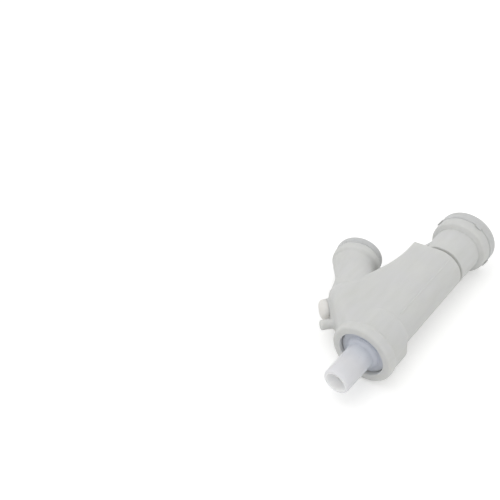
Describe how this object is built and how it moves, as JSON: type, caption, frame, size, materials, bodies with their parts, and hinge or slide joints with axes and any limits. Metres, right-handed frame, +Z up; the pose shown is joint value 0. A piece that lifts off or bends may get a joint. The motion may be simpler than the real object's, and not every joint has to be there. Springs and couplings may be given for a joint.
{
  "type": "condensate trap",
  "caption": "Y-shaped condensate trap lying on its side: flat-sided moulded body, seal sockets on inlet and branch, hose spigot below, ball valve inside.",
  "frame": {"origin": "centre of the bounding box at its underside, where the trap lies on its three rims", "axes": "+Y along the main tube towards the inlet socket, the branch leans towards -X, +Z up"},
  "size_m": [0.0962, 0.1804, 0.0457],
  "materials": {
    "natural_pp": "satin, milky natural polypropylene",
    "white_pp": "satin",
    "clear_pp": "smooth, clearer grade with a cool cast",
    "cream_pe": "satin",
    "ball_pp": "smooth",
    "grey_rubber": "matt"
  },
  "bodies": {
    "trap": {"trap_body": "natural_pp", "branch_lip_seal": "grey_rubber", "branch_snap_ring": "white_pp"},
    "inlet": {"inlet_socket": "natural_pp", "inlet_lip_seal": "grey_rubber", "inlet_snap_ring": "white_pp", "inlet_o_ring": "grey_rubber"},
    "outlet": {"outlet_insert": "clear_pp", "outlet_o_ring": "grey_rubber", "ball_seat_washer": "grey_rubber", "ball_cage": "clear_pp"},
    "ball": {"float_ball": "ball_pp"},
    "plug": {"port_plug": "cream_pe"}
  },
  "joints": [
    {"name": "inlet_turn", "type": "hinge", "parent": "trap", "child": "inlet", "pos_m": [0.02523, 0.04505, 0.02283], "axis": [0, 1, -0.0007], "continuous": true},
    {"name": "outlet_pull", "type": "slide", "parent": "trap", "child": "outlet", "axis": [0, -1, 0.0007], "range_m": [0, 0.05]},
    {"name": "ball_lift", "type": "slide", "parent": "outlet", "child": "ball", "axis": [0, 1, -0.0007], "range_m": [0, 0.006]},
    {"name": "plug_pull", "type": "slide", "parent": "trap", "child": "plug", "axis": [-0.6805, -0.7314, -0.0444], "range_m": [0, 0.012]}
  ]
}
